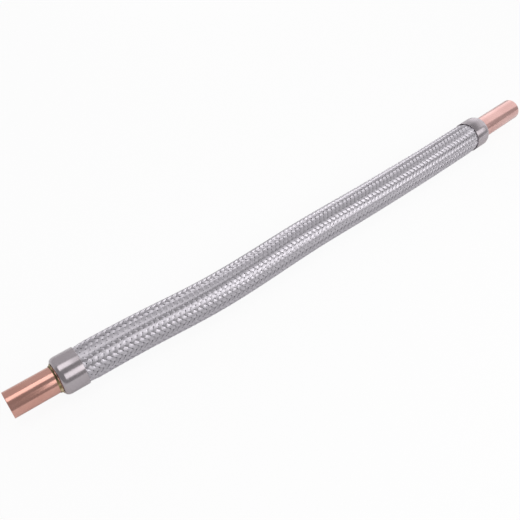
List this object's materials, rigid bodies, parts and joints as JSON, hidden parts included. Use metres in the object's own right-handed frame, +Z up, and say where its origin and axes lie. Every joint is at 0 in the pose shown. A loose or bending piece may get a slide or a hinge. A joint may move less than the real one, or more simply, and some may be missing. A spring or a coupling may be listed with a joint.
{
  "type": "vibration eliminator",
  "caption": "Slender braided stainless steel flexible hose with a stainless ferrule and a plain copper tube stub at each end, lying with a slight bend.",
  "frame": {"origin": "on the surface that the hose lies on, under the middle of its bounding box", "axes": "+X along the hose from the short front stub to the longer rear stub, +Y across it, away from the side that it bulges to, +Z up"},
  "size_m": [0.4342, 0.028, 0.0232],
  "materials": {
    "copper": "drawn copper tube, satin, with fine scratches along its length",
    "ferrule_steel": "satin stainless steel",
    "braid_steel": "bright stainless steel wire, woven two over two",
    "hose_steel": "thin stainless steel bellows, mill finish",
    "braze": "brazing filler metal, straw to dark brown heat tint",
    "weld": "weld metal, dull"
  },
  "bodies": {
    "root": {"front_copper_tube": "copper", "rear_copper_tube": "copper", "front_ferrule": "ferrule_steel", "rear_ferrule": "ferrule_steel", "braid_sleeve": "braid_steel", "corrugated_hose": "hose_steel", "front_braze_fillet": "braze", "rear_braze_fillet": "braze", "front_hose_braze_ring": "braze", "rear_hose_braze_ring": "braze", "front_braid_weld_bead": "weld", "rear_braid_weld_bead": "weld"}
  },
  "joints": []
}
